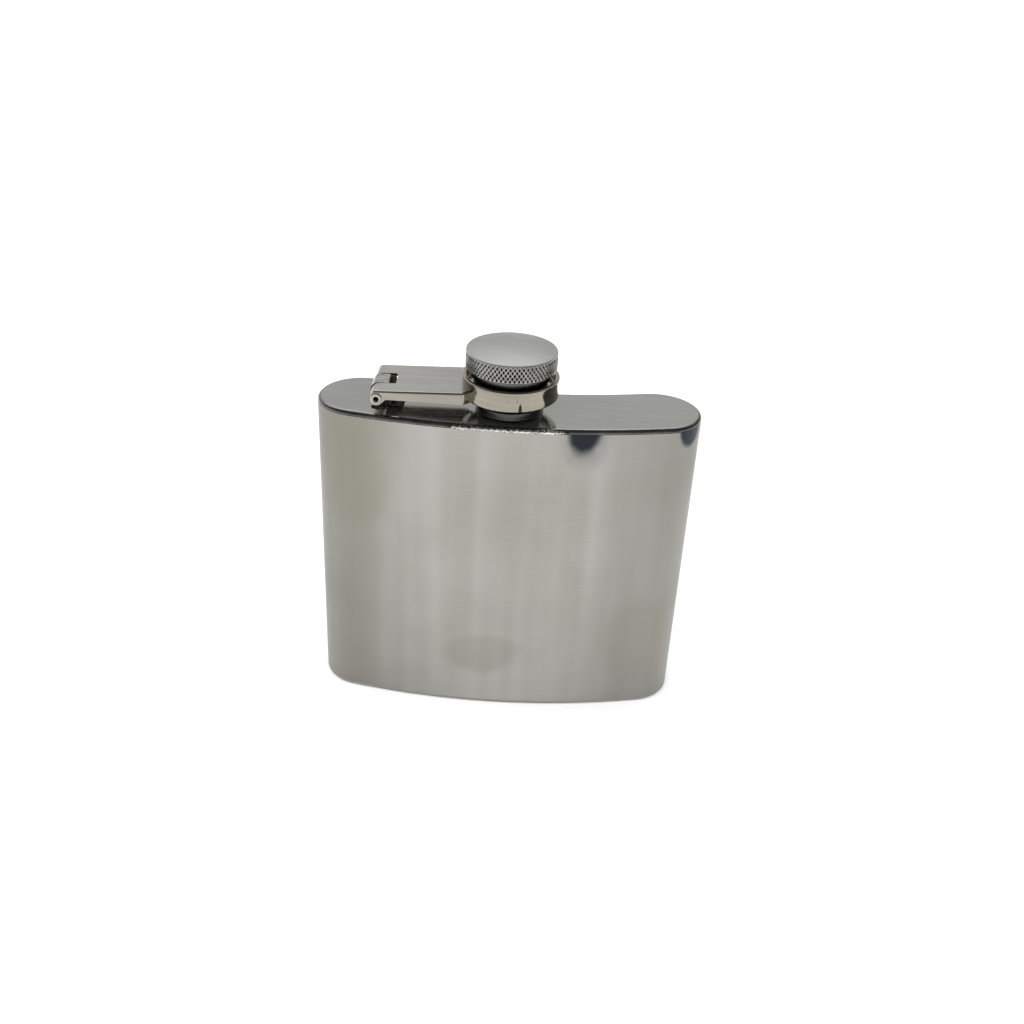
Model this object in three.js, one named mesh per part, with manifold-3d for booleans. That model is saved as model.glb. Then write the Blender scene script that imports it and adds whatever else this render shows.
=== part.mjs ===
// A hip flask in stainless steel: a curved pocket flask whose screw cap is held captive on a hinged arm.
// Millimetres, +Z up. The origin is under the middle of the flask, on the surface it stands on.
// The convex front faces -Y, the concave back faces +Y, and the hinge is at the -X end.
import * as THREE from "three";
import { mergeVertices } from "three/addons/utils/BufferGeometryUtils.js";
import Module from "manifold-3d";

// The flask's body
const BODY_WIDTH = 92;
const BODY_THICKNESS = 21; // across the curved section
const BODY_HEIGHT = 80;
const BEND_RADIUS = 159; // of the section's mid-line, bent round the wearer's hip
const SHEET = 0.7; // thickness of the pressed steel
const EDGE_RADIUS = 1; // where the top and bottom plates turn down
const SKIRT = 1.05; // height of the plates' turned edge, down to the welded seam

// The neck, with heights above the top plate
const NECK_RADIUS = 7.7;
const NECK_SHOULDER = 2.3; // top of the plain part, where the thread starts
const NECK_TOP = 5.15;
const NECK_FOOT = 0.5; // how far the foot stands out
const NECK_FOOT_HEIGHT = 0.35;
const NECK_BORE = 5.9; // radius
const NECK_SPIGOT = 6.9; // radius of the end that is welded into the top plate
const NECK_SPIGOT_DEPTH = 1.8;
const WELD_GAP = 0.3; // room round a piece that is set into another
const EASE = 0.2; // bevel on machined edges

// The screw thread, right-handed
const PITCH = 1;
const THREAD_MINOR = 6.95; // radius of the neck under its thread
const THREAD_MAJOR = 7.5; // and over it
const THREAD_CLEARANCE = 0.15; // between crest and root, all round
const THREAD_BASE = 0.62; // width of the ridge at its root
const THREAD_CREST = 0.18; // and at its crest
const THREAD_RUNOUT = 0.25; // part of its height left where it starts and ends

// The captive cap, unscrewed and standing at the top of its travel
const CAP_TRAVEL = 1.6; // from there down to closed
const CAP_RADIUS = 10.7;
const CAP_SKIRT = 10.8; // height of the knurled band's lower edge
const CAP_BAND_TOP = 15.1;
const CAP_EDGE = 0.3; // bevel between the band and the domed top
const CAP_DOME = 0.9; // rise of the domed top
const CAP_TOP_THICKNESS = 1.1;
const SHANK_RADIUS = 9.2; // plain part of the cap under the knurling
const SLEEVE_RADIUS = 8.2; // threaded sleeve inside it
const SLEEVE_WALL = 0.9;
const LIP_RADIUS = 9.2; // foot of the sleeve, which holds the cap in its collar
const LIP_HEIGHT = 0.8;
const LIP_BEVEL = 0.25;
const SEAL_THICKNESS = 1.5;
const SEAL_ROOM = 0.2; // over it, where the cap turns on it
const SEAL_EDGE = 0.1; // and how far it stays inside the thread's radius
const SLIP = 0.05; // gap between faces that meet at the end of a motion

// The collar on the arm, which the cap turns in
const COLLAR_RADIUS = 11.4;
const COLLAR_WALL = 1.1;
const COLLAR_BOTTOM = 4.3;
const COLLAR_TOP = 9.1;
const COLLAR_FLOOR = 6.2; // underside of its inner floor
const COLLAR_FLOOR_THICKNESS = 0.8;
const COLLAR_HOLE = 8.6; // radius

// The hinge and its arm, with places from the pin's axis
const PIN_X = -30.5;
const PIN_HEIGHT = 4.35;
const PIN_RADIUS = 1.1;
const PIN_BORE = 0.55;
const PIN_HEAD = 1.35;
const PIN_HEAD_THICKNESS = 0.3;
const RUNNING = 0.1; // radial play of the pin
const ARM_WIDTH = 16;
const ARM_SLOPE = 0.027; // radians that the arm rises towards the cap
const ARM_TOP = 1.95;
const ARM_END = 1.6; // rounded end beyond the pin
const ARM_CURL = 1.6; // radius by which the top turns down at that end
const EAR_LEAVES = 0.6; // radians short of level where the ear's round meets the flange
const EAR_FLANGE = 2.4; // where the flange's straight edge starts
const FLANGE_AT_HINGE = 0.15; // how far the side flanges reach below the axis
const FLANGE_AT_COLLAR = 0.95;
const ARM_LENGTH = 22; // to inside the collar, which then cuts it to fit
const CORNER_START = 19.9; // where the arm's corners turn in to the collar
const CORNER_SLANT = 1.6;
const MOUTH_WIDTH = 9; // opening under the arm's top, towards the collar
const EAR_WIDTH = 1; // at the ends of the pin; the end wall is cut away between them
const END_WALL = -0.3; // lower edge of that wall
const NOTCH_WIDTH = 5.9;
const NOTCH_LENGTH = 4.1;
const BRACKET_WIDTH = 5.2;
const BRACKET_OFFSET = -0.35; // the bracket sits this far off the flask's middle
const BRACKET_SHEET = 0.75;
const BRACKET_REACH = 2.4; // from the axis to the outside of its upright
const FOOT_END = 4.9; // and to the end of its welded foot
const BRACKET_BEND = 0.3; // bevel at its upper corner
const CURL_END = 0.35; // where the curl stops, in half turns short of level
const WING_REACH = 3.7; // from the axis to the end of its rear wing
const WING_TOP = 1.75;

// Facets
const SECTION_SEGMENTS = 8; // half the facets of each of the section's four arcs
const EDGE_SEGMENTS = 3;
const TURN_SEGMENTS = 36;
const PIN_SEGMENTS = 24;
const MERGE_DISTANCE = 1e-4;

const wasm = await Module();
wasm.setup();

const END_RADIUS = BODY_THICKNESS / 2;
const END_X = BODY_WIDTH / 2 - END_RADIUS; // middle of each rounded end
const BEND_ANGLE = Math.asin(END_X / BEND_RADIUS);
const BACK_REACH = BEND_RADIUS * (1 - Math.cos(BEND_ANGLE)) + END_RADIUS; // from the neck's axis
const AXIS_Y = (COLLAR_RADIUS - BACK_REACH) / 2; // centres the whole flask, collar included
const THREAD_ZERO = NECK_SHOULDER + THREAD_BASE / 2; // height of the neck's ridge where it starts
const QUARTER = Math.PI / 2;

const STEEL = { brushed: 0xb3b0a9, satin: 0xa9a8a4, polished: 0xc4c0b8, dark: 0x8d8b88 };

function material(color, roughness, metalness = 1) {
  return new THREE.MeshStandardMaterial({ color, roughness, metalness });
}

const materials = {
  wall: material(STEEL.brushed, 0.38),
  plate: material(STEEL.satin, 0.3),
  neck: material(STEEL.satin, 0.22),
  hinge: material(STEEL.dark, 0.35),
  arm: material(STEEL.satin, 0.32),
  collar: material(STEEL.polished, 0.15),
  cap: material(STEEL.brushed, 0.3),
  insert: material(STEEL.dark, 0.3),
  seal: material(0xd9d6cf, 0.7, 0),
};

function toSolid(geometry) {
  const bare = geometry.clone();
  bare.deleteAttribute("normal");
  bare.deleteAttribute("uv");
  const merged = mergeVertices(bare, MERGE_DISTANCE);
  return new wasm.Manifold(
    new wasm.Mesh({
      numProp: 3,
      vertProperties: merged.getAttribute("position").array,
      triVerts: new Uint32Array(merged.index.array),
    }),
  );
}

function toMesh(name, solid, finish) {
  const made = solid.getMesh();
  const geometry = new THREE.BufferGeometry();
  geometry.setAttribute("position", new THREE.BufferAttribute(made.vertProperties, 3));
  geometry.setIndex(new THREE.BufferAttribute(made.triVerts, 1));
  geometry.computeVertexNormals();
  const mesh = new THREE.Mesh(geometry, finish);
  mesh.name = name;
  return mesh;
}

// A solid of revolution about Z from its outline, given as [radius, height] going round it
// with the material on the left.
function turned(outline, segments = TURN_SEGMENTS) {
  const points = outline.map(([radius, height]) => new THREE.Vector2(radius, height));
  const closed = outline[0][0] > 0 || outline.at(-1)[0] > 0;
  if (closed) points.push(points[0].clone());
  return toSolid(new THREE.LatheGeometry(points, segments).rotateX(QUARTER));
}

function disc(radius, bottom, top, segments = TURN_SEGMENTS) {
  return toSolid(
    new THREE.CylinderGeometry(radius, radius, top - bottom, segments)
      .rotateX(QUARTER)
      .translate(0, 0, (top + bottom) / 2),
  );
}

function block(x, y, z) {
  return toSolid(
    new THREE.BoxGeometry(x[1] - x[0], y[1] - y[0], z[1] - z[0]).translate(
      (x[0] + x[1]) / 2,
      (y[0] + y[1]) / 2,
      (z[0] + z[1]) / 2,
    ),
  );
}

// A side view, drawn in X and Z, as wide as given across Y.
function sideways(shape, width, middle = 0) {
  return toSolid(
    new THREE.ExtrudeGeometry(shape, { depth: width, bevelEnabled: false, curveSegments: 8 })
      .rotateX(QUARTER)
      .translate(0, middle + width / 2, 0),
  );
}

// The flask's kidney-shaped section, shrunk on all sides by inset.
function section(inset) {
  const end = END_RADIUS - inset;
  const centre = AXIS_Y + BEND_RADIUS;
  const endY = centre - BEND_RADIUS * Math.cos(BEND_ANGLE);
  const shape = new THREE.Shape();
  shape.absarc(0, centre, BEND_RADIUS + end, -QUARTER - BEND_ANGLE, -QUARTER + BEND_ANGLE, false);
  shape.absarc(END_X, endY, end, -QUARTER + BEND_ANGLE, QUARTER + BEND_ANGLE, false);
  shape.absarc(0, centre, BEND_RADIUS - end, -QUARTER + BEND_ANGLE, -QUARTER - BEND_ANGLE, true);
  shape.absarc(-END_X, endY, end, QUARTER - BEND_ANGLE, 3 * QUARTER - BEND_ANGLE, false);
  return shape;
}

// The section raised from bottom to top, with both edges rounded.
function raised(inset, bottom, top, edge) {
  return toSolid(
    new THREE.ExtrudeGeometry(section(inset), {
      depth: top - bottom - 2 * edge,
      curveSegments: SECTION_SEGMENTS,
      bevelThickness: edge,
      bevelSize: edge,
      bevelOffset: -edge,
      bevelSegments: EDGE_SEGMENTS,
    }).translate(0, 0, bottom + edge),
  );
}

// Shell of the whole flask, cut along its two seams into the wrapped wall and the end plates.
const shell = raised(0, 0, BODY_HEIGHT, EDGE_RADIUS).subtract(
  raised(SHEET, SHEET, BODY_HEIGHT - SHEET, EDGE_RADIUS - SHEET),
);

function shellBetween(bottom, top) {
  return shell.intersect(block([-BODY_WIDTH, BODY_WIDTH], [-BODY_WIDTH, BODY_WIDTH], [bottom, top]));
}

function bodyPieces() {
  const seam = BODY_HEIGHT - SKIRT;
  const hole = disc(NECK_SPIGOT + WELD_GAP, seam, BODY_HEIGHT + SHEET).translate(0, AXIS_Y, 0);
  return [
    toMesh("body_wall", shellBetween(SKIRT, seam), materials.wall),
    toMesh("top_plate", shellBetween(seam, BODY_HEIGHT + SHEET).subtract(hole), materials.plate),
    toMesh("bottom_plate", shellBetween(-SHEET, SKIRT), materials.plate),
  ];
}

// A helical ridge of the thread about Z: a tapered strip, bent round and raised one pitch a turn.
// The middle of the ridge is at the zero height plus PITCH times the turn, between a lowest and a
// highest place. It starts and ends on a facet's edge, and both its ends fade out.
function threadRidge(root, crest, zero, lowest, highest) {
  const outward = Math.sign(crest - root);
  const buried = root - THREAD_CLEARANCE * outward;
  const first = Math.ceil(((lowest - zero) / PITCH) * TURN_SEGMENTS) / TURN_SEGMENTS;
  const steps = Math.floor(((highest - zero) / PITCH - first) * TURN_SEGMENTS);
  const turns = steps / TURN_SEGMENTS;
  const strip = new THREE.ExtrudeGeometry(
    new THREE.Shape([
      new THREE.Vector2(-THREAD_BASE / 2, 0),
      new THREE.Vector2(-THREAD_CREST / 2, 1),
      new THREE.Vector2(THREAD_CREST / 2, 1),
      new THREE.Vector2(THREAD_BASE / 2, 0),
    ]),
    { depth: turns, steps, bevelEnabled: false },
  );
  const position = strip.getAttribute("position");
  for (let i = 0; i < position.count; i += 1) {
    const along = position.getZ(i);
    const angle = 2 * Math.PI * (first + along);
    const fade = Math.min(1, THREAD_RUNOUT + 8 * Math.min(along, turns - along));
    const radius = position.getY(i) > 0 ? root + (crest - root) * fade : buried;
    const height = zero + outward * position.getX(i) + PITCH * (first + along);
    position.setXYZ(i, radius * Math.cos(angle), radius * Math.sin(angle), height);
  }
  return toSolid(strip);
}

function neck() {
  const tube = turned([
    [NECK_BORE, -NECK_SPIGOT_DEPTH],
    [NECK_SPIGOT, -NECK_SPIGOT_DEPTH],
    [NECK_SPIGOT, 0],
    [NECK_RADIUS + NECK_FOOT, 0],
    [NECK_RADIUS + NECK_FOOT, NECK_FOOT_HEIGHT],
    [NECK_RADIUS, 2 * NECK_FOOT_HEIGHT],
    [NECK_RADIUS, NECK_SHOULDER - EASE],
    [NECK_RADIUS - EASE, NECK_SHOULDER],
    [THREAD_MINOR, NECK_SHOULDER],
    [THREAD_MINOR, NECK_TOP - EASE],
    [THREAD_MINOR - EASE, NECK_TOP],
    [NECK_BORE, NECK_TOP],
  ]);
  const highest = NECK_TOP - EASE / 2 - THREAD_BASE / 2;
  const ridge = threadRidge(THREAD_MINOR, THREAD_MAJOR, THREAD_ZERO, THREAD_ZERO, highest);
  return toMesh("neck", tube.add(ridge), materials.neck);
}

// The sleeve's thread runs in phase with the neck's, half a pitch away from it.
function capInsert() {
  const root = THREAD_MAJOR + THREAD_CLEARANCE;
  const bottom = COLLAR_FLOOR - SLIP - LIP_HEIGHT;
  const sealBottom = NECK_TOP + CAP_TRAVEL + SLIP;
  const ceiling = sealBottom + SEAL_THICKNESS + SEAL_ROOM;
  const top = CAP_BAND_TOP - CAP_TOP_THICKNESS - WELD_GAP;
  const sleeve = turned([
    [0, ceiling],
    [root, ceiling],
    [root, bottom],
    [LIP_RADIUS - LIP_BEVEL, bottom],
    [LIP_RADIUS, bottom + LIP_BEVEL],
    [LIP_RADIUS, bottom + LIP_HEIGHT],
    [SLEEVE_RADIUS, bottom + LIP_HEIGHT],
    [SLEEVE_RADIUS, top],
    [SLEEVE_RADIUS - SLEEVE_WALL, top],
    [SLEEVE_RADIUS - SLEEVE_WALL, ceiling + SLEEVE_WALL],
    [0, ceiling + SLEEVE_WALL],
  ]);
  const lowest = bottom + THREAD_BASE / 2 + SLIP;
  const highest = sealBottom - THREAD_BASE / 2 - SLIP;
  const crest = THREAD_MINOR + THREAD_CLEARANCE;
  const ridge = threadRidge(root, crest, THREAD_ZERO + PITCH / 2, lowest, highest);
  return toMesh("cap_insert", sleeve.add(ridge), materials.insert);
}

function capSeal() {
  const bottom = NECK_TOP + CAP_TRAVEL + SLIP;
  const radius = THREAD_MAJOR - SEAL_EDGE;
  return toMesh("cap_seal", disc(radius, bottom, bottom + SEAL_THICKNESS), materials.seal);
}

function capShell() {
  const bore = SLEEVE_RADIUS + WELD_GAP;
  const shankBottom = COLLAR_FLOOR + COLLAR_FLOOR_THICKNESS + CAP_TRAVEL + SLIP;
  const edgeRadius = CAP_RADIUS - CAP_EDGE;
  const dome = [1, 0.8, 0.6, 0.4, 0.2, 0].map((part) => [
    edgeRadius * part,
    CAP_BAND_TOP + CAP_EDGE + CAP_DOME * (1 - part * part),
  ]);
  const outline = [
    [0, CAP_BAND_TOP - CAP_TOP_THICKNESS],
    [bore, CAP_BAND_TOP - CAP_TOP_THICKNESS],
    [bore, shankBottom],
    [SHANK_RADIUS, shankBottom],
    [SHANK_RADIUS, CAP_SKIRT],
    [CAP_RADIUS - EASE, CAP_SKIRT],
    [CAP_RADIUS, CAP_SKIRT + EASE],
    [CAP_RADIUS, CAP_BAND_TOP],
    ...dome,
  ];
  return toMesh("cap_shell", turned(outline), materials.cap);
}

function capCollar() {
  const inner = COLLAR_RADIUS - COLLAR_WALL;
  const floorTop = COLLAR_FLOOR + COLLAR_FLOOR_THICKNESS;
  const ring = turned([
    [COLLAR_HOLE, COLLAR_FLOOR],
    [inner, COLLAR_FLOOR],
    [inner, COLLAR_BOTTOM],
    [COLLAR_RADIUS - EASE, COLLAR_BOTTOM],
    [COLLAR_RADIUS, COLLAR_BOTTOM + EASE],
    [COLLAR_RADIUS, COLLAR_TOP - EASE],
    [COLLAR_RADIUS - EASE, COLLAR_TOP],
    [inner, COLLAR_TOP],
    [inner, floorTop],
    [COLLAR_HOLE, floorTop],
  ]);
  return toMesh("cap_collar", ring, materials.collar);
}

// The arm seen from above: straight sides whose corners slant in to the collar.
function armPlan(inset, back) {
  const half = ARM_WIDTH / 2 - inset;
  return new THREE.Shape([
    new THREE.Vector2(-back, -half),
    new THREE.Vector2(CORNER_START, -half),
    new THREE.Vector2(CORNER_START + CORNER_SLANT, -half + CORNER_SLANT),
    new THREE.Vector2(ARM_LENGTH, -half + CORNER_SLANT),
    new THREE.Vector2(ARM_LENGTH, half - CORNER_SLANT),
    new THREE.Vector2(CORNER_START + CORNER_SLANT, half - CORNER_SLANT),
    new THREE.Vector2(CORNER_START, half),
    new THREE.Vector2(-back, half),
  ]);
}

// The arm seen from the front: a round ear about the pin, then flanges that deepen towards the cap.
function armSide() {
  const shape = new THREE.Shape();
  shape.moveTo(ARM_LENGTH, ARM_TOP);
  shape.absarc(ARM_CURL - ARM_END, ARM_TOP - ARM_CURL, ARM_CURL, QUARTER, 2 * QUARTER, false);
  shape.absarc(0, 0, ARM_END, 2 * QUARTER, 4 * QUARTER - EAR_LEAVES, false);
  shape.lineTo(EAR_FLANGE, -FLANGE_AT_HINGE);
  shape.lineTo(ARM_LENGTH, -FLANGE_AT_COLLAR);
  return shape;
}

function upright(shape, bottom, top) {
  const depth = top - bottom;
  return toSolid(new THREE.ExtrudeGeometry(shape, { depth, bevelEnabled: false }).translate(0, 0, bottom));
}

function hingeArm() {
  const outside = upright(armPlan(0, ARM_END), -ARM_END, ARM_TOP);
  const inside = upright(armPlan(SHEET, ARM_END - SHEET), -2 * ARM_END, ARM_TOP - SHEET);
  const below = -2 * ARM_END;
  const mouthWall = ARM_LENGTH - 2 * CORNER_SLANT;
  const mouth = block(
    [mouthWall, 2 * ARM_LENGTH],
    [-MOUTH_WIDTH / 2, MOUTH_WIDTH / 2],
    [below, ARM_TOP - SHEET],
  );
  const between = ARM_WIDTH / 2 - EAR_WIDTH;
  const endWall = block([below, 0], [-between, between], [below, END_WALL]);
  const notch = block(
    [below, NOTCH_LENGTH],
    [BRACKET_OFFSET - NOTCH_WIDTH / 2, BRACKET_OFFSET + NOTCH_WIDTH / 2],
    [below, 2 * ARM_TOP],
  );
  const hole = new THREE.Shape().absarc(0, 0, PIN_RADIUS + RUNNING, 0, 2 * Math.PI, false);
  const collar = disc(COLLAR_RADIUS + WELD_GAP, -2 * ARM_TOP, 2 * ARM_TOP).translate(-PIN_X, 0, 0);
  const arm = outside
    .subtract(inside)
    .intersect(sideways(armSide(), ARM_WIDTH + 2))
    .subtract(mouth)
    .subtract(endWall)
    .subtract(notch)
    .subtract(sideways(hole, ARM_WIDTH + 2))
    .subtract(collar);
  return toMesh("hinge_arm", arm, materials.arm);
}

// A tube whose two ends are spread against the ears.
function hingePin() {
  const half = ARM_WIDTH / 2 + SLIP;
  const end = half + PIN_HEAD_THICKNESS;
  const pin = turned(
    [
      [PIN_BORE, -end],
      [PIN_HEAD, -end],
      [PIN_HEAD, -half],
      [PIN_RADIUS, -half],
      [PIN_RADIUS, half],
      [PIN_HEAD, half],
      [PIN_HEAD, end],
      [PIN_BORE, end],
    ],
    PIN_SEGMENTS,
  );
  const mesh = toMesh("hinge_pin", pin, materials.hinge);
  mesh.rotation.x = QUARTER;
  return mesh;
}

// A strip that stands on a welded foot, runs level over the pin and curls round it. A wing at its
// rear end stiffens the upright.
function hingeBracket() {
  const inner = PIN_RADIUS + RUNNING;
  const outer = inner + BRACKET_SHEET;
  const foot = -PIN_HEIGHT;
  const curlEnd = (2 - CURL_END) * Math.PI;
  const shape = new THREE.Shape();
  shape.moveTo(FOOT_END, foot);
  shape.lineTo(FOOT_END, foot + BRACKET_SHEET);
  shape.lineTo(BRACKET_REACH, foot + BRACKET_SHEET);
  shape.lineTo(BRACKET_REACH, outer - BRACKET_BEND);
  shape.lineTo(BRACKET_REACH - BRACKET_BEND, outer);
  shape.lineTo(0, outer);
  shape.absarc(0, 0, outer, QUARTER, curlEnd, false);
  shape.absarc(0, 0, inner, curlEnd, QUARTER, true);
  shape.lineTo(BRACKET_REACH - BRACKET_SHEET, inner);
  shape.lineTo(BRACKET_REACH - BRACKET_SHEET, foot);
  const rear = BRACKET_OFFSET + BRACKET_WIDTH / 2;
  const wing = block(
    [BRACKET_REACH - BRACKET_SHEET / 2, WING_REACH],
    [rear - BRACKET_SHEET, rear],
    [foot, WING_TOP],
  );
  const bracket = sideways(shape, BRACKET_WIDTH, BRACKET_OFFSET).add(wing);
  return toMesh("hinge_bracket", bracket, materials.hinge);
}

const closure = new THREE.Group();
closure.position.set(0, AXIS_Y, BODY_HEIGHT);
closure.add(neck(), capCollar(), capInsert(), capSeal(), capShell());

const hinge = new THREE.Group();
hinge.position.set(PIN_X, AXIS_Y, BODY_HEIGHT + PIN_HEIGHT);
const arm = hingeArm();
arm.rotation.y = -ARM_SLOPE;
hinge.add(arm, hingePin(), hingeBracket());

const group = new THREE.Group();
group.add(...bodyPieces(), closure, hinge);

export default group;
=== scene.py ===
"""Looks of the hip flask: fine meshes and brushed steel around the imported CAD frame. Metres, +Z up."""
import math

import bmesh
import bpy
import numpy as np
from mathutils import Matrix, Vector


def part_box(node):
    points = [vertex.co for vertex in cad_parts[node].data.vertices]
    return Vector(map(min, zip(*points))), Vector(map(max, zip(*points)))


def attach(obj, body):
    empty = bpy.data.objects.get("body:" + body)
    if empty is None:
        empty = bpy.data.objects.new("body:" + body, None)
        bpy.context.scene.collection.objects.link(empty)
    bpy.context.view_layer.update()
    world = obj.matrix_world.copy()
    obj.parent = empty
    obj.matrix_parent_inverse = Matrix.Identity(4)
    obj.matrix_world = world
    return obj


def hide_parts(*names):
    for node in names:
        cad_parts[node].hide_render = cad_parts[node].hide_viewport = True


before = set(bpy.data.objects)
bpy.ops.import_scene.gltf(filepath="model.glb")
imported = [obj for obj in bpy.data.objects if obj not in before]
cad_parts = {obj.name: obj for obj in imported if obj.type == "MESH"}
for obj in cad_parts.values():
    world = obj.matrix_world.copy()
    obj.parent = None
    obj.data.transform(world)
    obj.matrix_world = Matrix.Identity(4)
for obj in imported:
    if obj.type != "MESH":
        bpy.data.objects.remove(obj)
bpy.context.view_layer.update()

MM = 0.001

# Places and sizes read from the frame, in millimetres.


def node_box(node):
    low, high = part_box(node)
    return np.array(low) / MM, np.array(high) / MM


WALL_LOW, WALL_HIGH = node_box("body_wall")
COLLAR_LOW, COLLAR_HIGH = node_box("cap_collar")
CAP_LOW, CAP_HIGH = node_box("cap_shell")
PIN_LOW, PIN_HIGH = node_box("hinge_pin")
BRACKET_LOW, BRACKET_HIGH = node_box("hinge_bracket")
INSERT_LOW, INSERT_HIGH = node_box("cap_insert")
SEAL_LOW, SEAL_HIGH = node_box("cap_seal")
NECK_LOW, NECK_HIGH = node_box("neck")

TOP = node_box("top_plate")[1][2]
SEAM_TOP = WALL_HIGH[2]
SEAM_BOTTOM = WALL_LOW[2]
BOTTOM = node_box("bottom_plate")[0][2]
AXIS_Y = (COLLAR_LOW[1] + COLLAR_HIGH[1]) / 2

# The body's section, as the CAD has it.
WIDTH = 92.0
THICKNESS = 21.0
BEND_RADIUS = 159.0
SHEET = 0.7
EDGE_RADIUS = 1.0
END_RADIUS = THICKNESS / 2
END_X = WIDTH / 2 - END_RADIUS
BEND_ANGLE = math.asin(END_X / BEND_RADIUS)
BEND_CENTRE_Y = AXIS_Y + BEND_RADIUS
END_Y = BEND_CENTRE_Y - BEND_RADIUS * math.cos(BEND_ANGLE)

# The screw thread, heights above the top plate.
PITCH = 1.0
THREAD_MINOR = 6.95
THREAD_HEIGHT = 0.55
THREAD_BASE = 0.62
THREAD_CREST = 0.18
THREAD_CLEARANCE = 0.15
NECK_SHOULDER = 2.3
THREAD_ZERO = NECK_SHOULDER + THREAD_BASE / 2
THREAD_FADE = 0.35

# The neck, the cap and the collar: radii, and heights above the top plate.
NECK_BORE = 5.9
NECK_SPIGOT = 6.9
NECK_RADIUS = 7.7
NECK_HOLE = 7.2
SLEEVE_RADIUS = 8.2
LIP_RADIUS = 9.2
CAP_SKIRT = TOP + 10.8
CAP_BAND_TOP = TOP + 15.1
CAP_TOP_THICKNESS = 1.1
CAP_SHANK = 9.2
CAP_BORE = 8.5
COLLAR_WALL = 1.1
COLLAR_HOLE = 8.6
COLLAR_FLOOR = TOP + 6.2
COLLAR_FLOOR_TOP = TOP + 7.0
KNURLS = 66
KNURL_DEPTH = 0.36
KNURL_ANGLE = math.radians(54)

# The hinge, with the arm's sizes in its own frame about the pin.
PIN = np.array([(PIN_LOW[0] + PIN_HIGH[0]) / 2, AXIS_Y, (PIN_LOW[2] + PIN_HIGH[2]) / 2])
ARM_SLOPE = 0.027
ARM_HALF = 8.0
ARM_TOP = 1.95
ARM_END = 1.6
ARM_LENGTH = 22.0
ARM_CURL = 1.9
ARM_BEND = 0.55
MOUTH_HALF = 4.5
NOTCH_MIDDLE = -0.35
NOTCH_HALF = 2.95
PIN_HOLE = 1.2
BRACKET_SHEET = 0.75
BRACKET_CURL = 1.2
BRACKET_REACH = 2.4
SHADE_WING_REACH = 3.7
SHADE_WING_TOP = 1.75


# ---------------------------------------------------------------- meshes

def make_object(name, vertices, faces, material):
    mesh = bpy.data.meshes.new(name)
    mesh.from_pydata([tuple(v * MM) for v in np.asarray(vertices, float)], [], faces)
    mesh.update()
    mesh.materials.append(material)
    obj = bpy.data.objects.new(name, mesh)
    bpy.context.scene.collection.objects.link(obj)
    return obj


def grid_faces(rows, columns, wrap_rows=False, wrap_columns=True):
    """Quads between neighbouring points of a grid, numbered row by row."""
    faces = []
    for i in range(rows if wrap_rows else rows - 1):
        for j in range(columns if wrap_columns else columns - 1):
            k = (i + 1) % rows
            m = (j + 1) % columns
            faces.append((i * columns + j, i * columns + m, k * columns + m, k * columns + j))
    return faces


def shade(obj, angle=35):
    """Smooth shading, with edges sharper than the angle kept crisp."""
    mesh = obj.data
    bm = bmesh.new()
    bm.from_mesh(mesh)
    bmesh.ops.remove_doubles(bm, verts=bm.verts, dist=1e-7)
    bmesh.ops.recalc_face_normals(bm, faces=bm.faces)
    for face in bm.faces:
        face.smooth = True
    limit = math.radians(angle)
    for edge in bm.edges:
        edge.smooth = not (edge.is_manifold and edge.calc_face_angle(0) > limit)
    bm.to_mesh(mesh)
    bm.free()
    return obj


def apply_modifiers(obj):
    graph = bpy.context.evaluated_depsgraph_get()
    made = bpy.data.meshes.new_from_object(obj.evaluated_get(graph))
    old = obj.data
    obj.modifiers.clear()
    obj.data = made
    bpy.data.meshes.remove(old)
    return obj


def cut(obj, tool, operation="DIFFERENCE"):
    """Cuts obj with another mesh, which is then removed."""
    modifier = obj.modifiers.new("cut", "BOOLEAN")
    modifier.operation = operation
    modifier.solver = "EXACT"
    modifier.object = tool
    apply_modifiers(obj)
    bpy.data.objects.remove(tool)
    return obj


def soften(obj, width, segments=2, angle=40):
    """Rounds every edge that is sharper than the angle."""
    bm = bmesh.new()
    bm.from_mesh(obj.data)
    bmesh.ops.dissolve_limit(bm, angle_limit=math.radians(1), verts=bm.verts, edges=bm.edges)
    bm.to_mesh(obj.data)
    bm.free()
    modifier = obj.modifiers.new("soften", "BEVEL")
    modifier.width = width * MM
    modifier.segments = segments
    modifier.limit_method = "ANGLE"
    modifier.angle_limit = math.radians(angle)
    modifier.use_clamp_overlap = True
    return apply_modifiers(obj)


def weigh(obj):
    """Keeps flat faces flat beside the rounded edges they run into."""
    modifier = obj.modifiers.new("weigh", "WEIGHTED_NORMAL")
    modifier.keep_sharp = True
    modifier.weight = 100
    return apply_modifiers(obj)


def corner(centre, radius, start, end, steps=5):
    """Points on an arc, angles in degrees."""
    angles = np.radians(np.linspace(start, end, steps))
    return [(centre[0] + radius * math.cos(a), centre[1] + radius * math.sin(a)) for a in angles]


def turned(name, outline, material, segments=128, centre=(0.0, AXIS_Y), relief=None):
    """A solid of revolution about a vertical axis, from an outline of (radius, height) going round it.
    relief(radius, angle, height) may move the radius of each point."""
    outline = np.array(outline, float)
    on_axis = outline[:, 0] < 1e-9
    angles = np.linspace(0, 2 * math.pi, segments, endpoint=False)
    radius, angle = np.meshgrid(outline[:, 0], angles, indexing="ij")
    height = np.repeat(outline[:, 1][:, None], segments, axis=1)
    if relief is not None:
        radius = np.where(on_axis[:, None], 0, relief(radius, angle, height))
    points = np.stack([centre[0] + radius * np.cos(angle), centre[1] + radius * np.sin(angle), height], -1)
    faces = grid_faces(len(outline), segments, wrap_rows=not on_axis.any())
    obj = make_object(name, points.reshape(-1, 3), faces, material)
    return shade(obj)


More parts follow.
